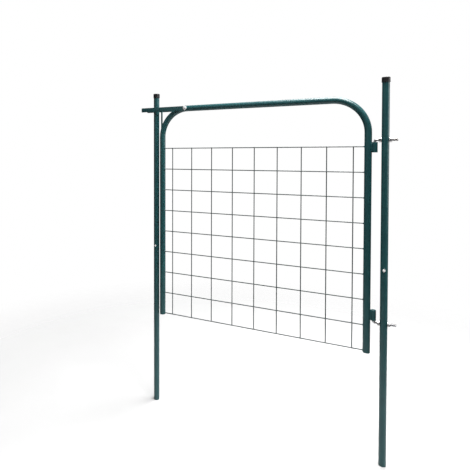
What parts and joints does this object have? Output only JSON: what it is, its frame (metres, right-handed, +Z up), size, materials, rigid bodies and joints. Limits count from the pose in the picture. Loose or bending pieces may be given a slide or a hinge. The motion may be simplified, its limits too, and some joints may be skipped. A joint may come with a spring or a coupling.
{
  "type": "panel gate",
  "caption": "Hinged panel gate: arched tube leaf with welded wire mesh, hung by hook bolts between two capped tube posts, closed by a lift-up fork latch.",
  "frame": {"origin": "centre of the latch post's foot", "axes": "+X from the latch post to the hinge post, +Y to the back of the closed gate, +Z up along the posts"},
  "size_m": [1.1165, 0.054, 1.503],
  "materials": {
    "green_paint": "satin powder coat, moss to teal green",
    "mesh_paint": "satin powder coat on welded wire",
    "black_plastic": "moulded, matt",
    "zinc": "bright zinc plate"
  },
  "bodies": {
    "posts": {"latch_post_lower": "green_paint", "latch_post_upper": "green_paint", "latch_post_cap": "black_plastic", "latch_post_plug": "black_plastic", "latch_post_screw": "zinc", "latch_post_nut": "zinc", "hinge_post_lower": "green_paint", "hinge_post_upper": "green_paint", "hinge_post_cap": "black_plastic", "hinge_post_plug": "black_plastic", "hinge_post_screw": "zinc", "hinge_post_nut": "zinc", "upper_hook": "zinc", "upper_hook_inner_nut": "zinc", "upper_hook_outer_nut": "zinc", "upper_hook_washers": "zinc", "lower_hook": "zinc", "lower_hook_inner_nut": "zinc", "lower_hook_outer_nut": "zinc", "lower_hook_washers": "zinc"},
    "leaf": {"leaf_frame": "green_paint", "upper_hinge_sleeve": "green_paint", "lower_hinge_sleeve": "green_paint", "latch_leg_plug": "black_plastic", "hinge_leg_plug": "black_plastic", "latch_rest": "green_paint", "pivot_bolt": "zinc", "pivot_nut": "zinc", "pivot_spacers": "zinc", "line_wire_1": "mesh_paint", "line_wire_2": "mesh_paint", "line_wire_3": "mesh_paint", "line_wire_4": "mesh_paint", "line_wire_5": "mesh_paint", "line_wire_6": "mesh_paint", "line_wire_7": "mesh_paint", "line_wire_8": "mesh_paint", "line_wire_9": "mesh_paint", "cross_wire_1": "mesh_paint", "cross_wire_2": "mesh_paint", "cross_wire_3": "mesh_paint", "cross_wire_4": "mesh_paint", "cross_wire_5": "mesh_paint", "cross_wire_6": "mesh_paint", "cross_wire_7": "mesh_paint", "cross_wire_8": "mesh_paint", "cross_wire_9": "mesh_paint"},
    "latch_lever": {"latch_front_plate": "green_paint", "latch_rear_plate": "green_paint", "latch_end_pin": "green_paint", "latch_rest_pin": "green_paint"}
  },
  "joints": [
    {"name": "leaf_swing", "type": "hinge", "parent": "posts", "child": "leaf", "pos_m": [0.9635, 0, 0.5535], "axis": [0, 0, 1], "range_deg": [-95, 95]},
    {"name": "latch_lift", "type": "hinge", "parent": "leaf", "child": "latch_lever", "pos_m": [0.16, 0, 1.42436], "axis": [0, 1, 0], "range_deg": [0, 170]}
  ]
}
